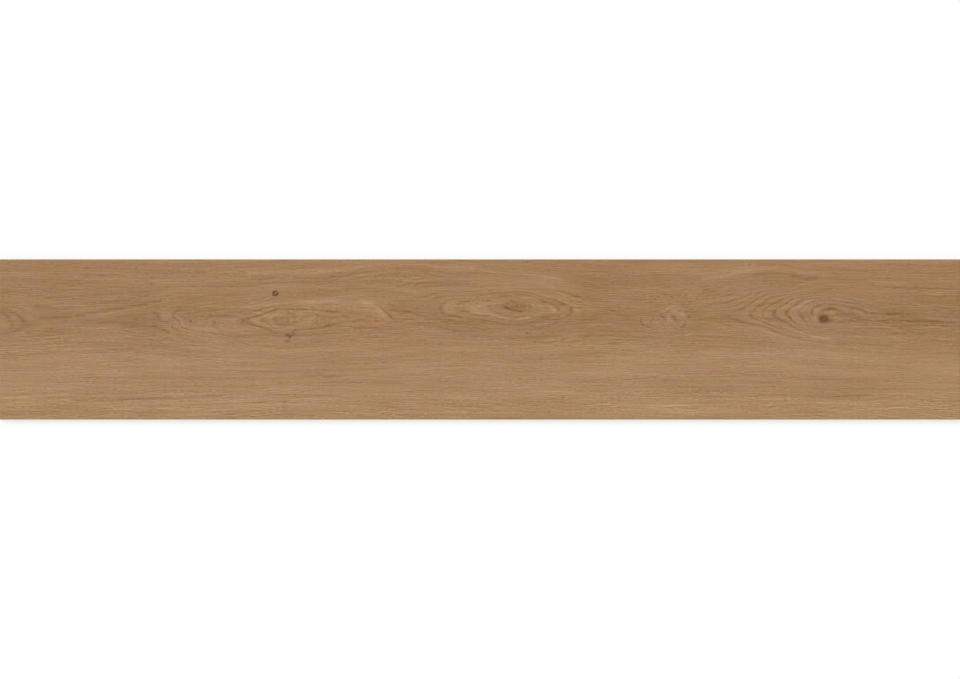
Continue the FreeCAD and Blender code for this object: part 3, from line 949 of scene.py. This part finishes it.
def printed_face():
    """Matt porcelain printed as oak."""
    graph = Graph(bpy.data.materials.new("printed_oak_face"))
    vector, x, y, z = graph.position()
    ring_number = graph.attribute("ring")

    # The plain grain: fibres, fine lines, pores and flecks
    flow_across = graph.times(ring_number, RING_HEIGHT * PIXEL)
    level = graph.math("SUBTRACT", y, graph.attribute("lift"))
    grain_y = graph.total(level, graph.shift(GRAIN_DRIFT, x, y))
    below_y = graph.total(grain_y, -SHORT_FIBRE_DROP)
    long_fibres = graph.noise(LONG_FIBRES, x, grain_y)
    dashes_below = graph.shift(SHORT_FIBRES, x, below_y)
    short_fibres = graph.math("SUBTRACT", graph.shift(SHORT_FIBRES, x, grain_y), dashes_below)
    short_share = graph.between(graph.noise(SHORT_FIBRE_AREAS, x, grain_y), *SHORT_FIBRE_SHARE)
    tiny_share = graph.between(graph.noise(TINY_FIBRE_AREAS, x, grain_y), *TINY_FIBRE_SHARE)
    fibres = graph.total(
        graph.around_zero(long_fibres, LONG_FIBRES.amount),
        graph.times(short_fibres, short_share),
        graph.times(graph.shift(TINY_FIBRES, x, grain_y), tiny_share),
    )
    pores = graph.noise(PORES, x, grain_y)
    clouds = graph.noise(CLOUDS, x, y, z)
    flecks = graph.times(graph.shift(FLECKS, x, y, z), graph.step(clouds, *FLECK_CLOUDS))

    # The drawn rings: dark cores with a light glow between them, broken up along their length
    wobble = graph.shift(RING_WOBBLE, x, y, z)
    to_next = graph.math("FRACT", graph.total(ring_number, wobble, 0.5))
    core = graph.bell(graph.math("SUBTRACT", to_next, 0.5), LINE_CORE)
    breaks = graph.between(graph.noise(LINE_BREAKS, x, ring_number), *LINE_BREAK_SHARE)
    strength = graph.times(graph.times(graph.attribute("figure"), breaks), LINE_TONE)
    lines = graph.times(graph.math("SUBTRACT", LINE_GLOW, core), strength)

    # The crisp spots, with uneven outlines
    warp = {0: graph.shift(MARK_WARP_ACROSS, x, y, z), 1: graph.shift(MARK_WARP_DOWN, y, x, z)}
    place = graph.vector_math("ADD", vector, graph.add("ShaderNodeCombineXYZ", warp).outputs[0])
    marks = graph.total(*[mark_tone(graph, place, mark) for mark in MARKS])

    tone = graph.total(
        graph.shift(BANDS, x, flow_across, y),
        graph.shift(STREAKS, x, flow_across, y),
        graph.times(fibres, graph.attribute("grain")),
        graph.shift(DARK_LINES, x, grain_y),
        graph.shift(LIGHT_LINES, x, grain_y),
        graph.around_zero(clouds, CLOUDS.amount),
        graph.times(pores, PORES.amount),
        flecks,
        graph.attribute("broad_tone"),
        lines,
        marks,
    )
    red = graph.total(graph.attribute("redness"), graph.shift(RED_SHIFT, x, grain_y))
    yellow = graph.total(graph.attribute("yellowness"), graph.shift(YELLOW_SHIFT, x, grain_y))
    hue = graph.vector_math("ADD", graph.scaled(RED_LEVEL, red), graph.scaled(YELLOW_LEVEL, yellow))
    graph.give("Base Color", graph.vector_math("ADD", graph.shades(tone, FACE_COLOUR), hue))

    fibre_roughness = graph.times(long_fibres, FIBRE_ROUGHNESS)
    graph.give("Roughness", graph.total(FACE_ROUGHNESS, fibre_roughness, graph.times(pores, PORE_ROUGHNESS)))
    graph.give("Specular IOR Level", SPECULAR_LEVEL)
    height = graph.total(graph.times(long_fibres, FIBRE_BUMP), graph.times(pores, PORE_BUMP))
    graph.give("Normal", graph.bump(height, FACE_BUMP_STRENGTH, FACE_BUMP_DISTANCE))
    return graph.owner


def porcelain_body():
    """The coloured body that shows on the ground edges and the back."""
    graph = Graph(bpy.data.materials.new("porcelain_body"))
    _, *place = graph.position()
    grit = graph.noise(GRIT, *place)
    grinding = graph.noise(GRINDING, *place)
    tone = graph.total(
        graph.around_zero(grit, GRIT.amount),
        graph.shift(SPECKS, *place),
        graph.shift(BODY_CLOUDS, *place),
        graph.around_zero(grinding, GRINDING.amount),
    )
    graph.give("Base Color", graph.shades(tone, BODY_COLOUR))
    graph.give("Roughness", graph.total(BODY_ROUGHNESS, graph.times(grit, GRIT_ROUGHNESS)))
    graph.give("Specular IOR Level", SPECULAR_LEVEL)
    height = graph.total(grit, graph.times(grinding, GRINDING_BUMP))
    graph.give("Normal", graph.bump(height, BODY_BUMP_STRENGTH, BODY_BUMP_DISTANCE))
    return graph.owner


mesh.materials.append(printed_face())
mesh.materials.append(porcelain_body())

# Where every corner of every mesh face lies, and the middle of the mesh face that it belongs to
corner_point = np.zeros(len(mesh.loops), np.int32)
mesh.loops.foreach_get("vertex_index", corner_point)
corners_per_face = np.zeros(len(mesh.polygons), np.int32)
mesh.polygons.foreach_get("loop_total", corners_per_face)
corner_face = np.repeat(np.arange(len(mesh.polygons)), corners_per_face)
corner = all_points[corner_point]
centre = np.zeros((len(mesh.polygons), 3))
np.add.at(centre, corner_face, corner)
centre = (centre / corners_per_face[:, None])[corner_face]
corner_group = face_group[corner_face]

# The bake map, from the top down: two halves of the face, then the back, then strips with the four sides
map_span = 1.0 - 2 * MAP_MARGIN
face_scale = map_span / HALF_LENGTH
back_scale = map_span / (2 * HALF_LENGTH)
side_scale = SIDE_MAP_HEIGHT / (THICKNESS + FACE_ARRIS)
right_half = centre[:, 0] > 0.0
face_u = (corner[:, 0] + np.where(right_half, 0.0, HALF_LENGTH)) * face_scale
face_v = 1.0 - MAP_MARGIN - (HALF_WIDTH - corner[:, 1]) * face_scale
face_v = face_v - np.where(right_half, 2 * HALF_WIDTH * face_scale + MAP_MARGIN, 0.0)
back_u = (corner[:, 0] + HALF_LENGTH) * back_scale
back_v = SIDE_MAP_STEP * SIDE_MAP_STRIPS + 2 * MAP_MARGIN + (corner[:, 1] + HALF_WIDTH) * back_scale
on_short_side = np.abs(centre[:, 0]) / HALF_LENGTH > np.abs(centre[:, 1]) / HALF_WIDTH
short_u = (corner[:, 1] + HALF_WIDTH) * back_scale + np.where(right_half, 0.5, 0.0)
side_u = np.where(on_short_side, short_u, back_u)
side_strip = np.where(on_short_side, 2, np.where(centre[:, 1] > 0, 1, 0))
inset = np.minimum(HALF_LENGTH - np.abs(corner[:, 0]), HALF_WIDTH - np.abs(corner[:, 1]))
up_side = corner[:, 2] + np.where(corner[:, 2] > THICKNESS / 2, inset, -inset) + BACK_ARRIS
side_v = MAP_MARGIN + SIDE_MAP_STEP * side_strip + up_side * side_scale
on_face = corner_group == "face"
on_back = np.isin(corner_group, ("back", "back_corners", "back_border"))
map_u = MAP_MARGIN + np.select([on_face, on_back], [face_u, back_u], default=side_u)
map_v = np.select([on_face, on_back], [face_v, back_v], default=side_v)
bake_map = mesh.uv_layers.new(name="OFBake")
bake_map.data.foreach_set("uv", np.stack([map_u, map_v], axis=-1).astype(np.float32).ravel())

tile = bpy.data.objects.new("plank_tile_dressed", mesh)
bpy.context.scene.collection.objects.link(tile)
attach(tile, "root")
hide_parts(NODE)

# The floor: white to the camera, with the tile's own shadow
floor_signs = ((-1, -1), (1, -1), (1, 1), (-1, 1))
floor_corners = [(x * FLOOR_SIZE / 2, y * FLOOR_SIZE / 2, -FLOOR_DROP) for x, y in floor_signs]
floor_mesh = bpy.data.meshes.new("studio_floor")
floor_mesh.from_pydata(floor_corners, [], [(0, 1, 2, 3)])
floor_graph = Graph(bpy.data.materials.new("studio_floor"))
floor_graph.give("Base Color", (FLOOR_SHARE, FLOOR_SHARE, FLOOR_SHARE, 1.0))
floor_graph.give("Roughness", FLOOR_ROUGHNESS)
floor_graph.give("Specular IOR Level", 0.0)
floor_graph.give("Emission Color", WHITE)
floor_graph.give("Emission Strength", floor_graph.times(floor_graph.seen(), FLOOR_LIFT))
floor_mesh.materials.append(floor_graph.owner)
floor = bpy.data.objects.new("studio_floor", floor_mesh)
bpy.context.scene.collection.objects.link(floor)

# Light: an even sky that is white to the camera, and one broad lamp from beyond the tile
sky_graph = Graph(bpy.data.worlds.new("studio_sky"))
sky_graph.give("Color", WHITE)
sky_graph.give("Strength", sky_graph.between(sky_graph.seen(), SKY_STRENGTH, 1.0))
bpy.context.scene.world = sky_graph.owner

lamp_data = bpy.data.lights.new("studio_lamp", "SUN")
lamp_data.angle = LAMP_ANGLE
lamp_data.energy = LAMP_SHARE * math.pi / math.sin(LAMP_ELEVATION)
lamp = bpy.data.objects.new("studio_lamp", lamp_data)
lamp_from = Vector((LAMP_SIDEWAYS, math.cos(LAMP_ELEVATION), math.sin(LAMP_ELEVATION)))
lamp.rotation_euler = lamp_from.to_track_quat("Z", "Y").to_euler()
bpy.context.scene.collection.objects.link(lamp)

# The camera looks straight down, and the face fills the photograph's width
frame_width = PHOTO_SIZE[0] * PIXEL
camera_data = bpy.data.cameras.new("studio_camera")
camera_data.lens = LENS
camera_data.sensor_width = SENSOR
camera = bpy.data.objects.new("studio_camera", camera_data)
middle_y = (MIDDLE_ROW + HALF_PIXEL - PHOTO_SIZE[1] / 2) * PIXEL
camera.location = (0.0, middle_y, THICKNESS + frame_width * LENS / SENSOR)
bpy.context.scene.collection.objects.link(camera)
bpy.context.scene.camera = camera
bpy.context.scene.view_settings.view_transform = "Standard"
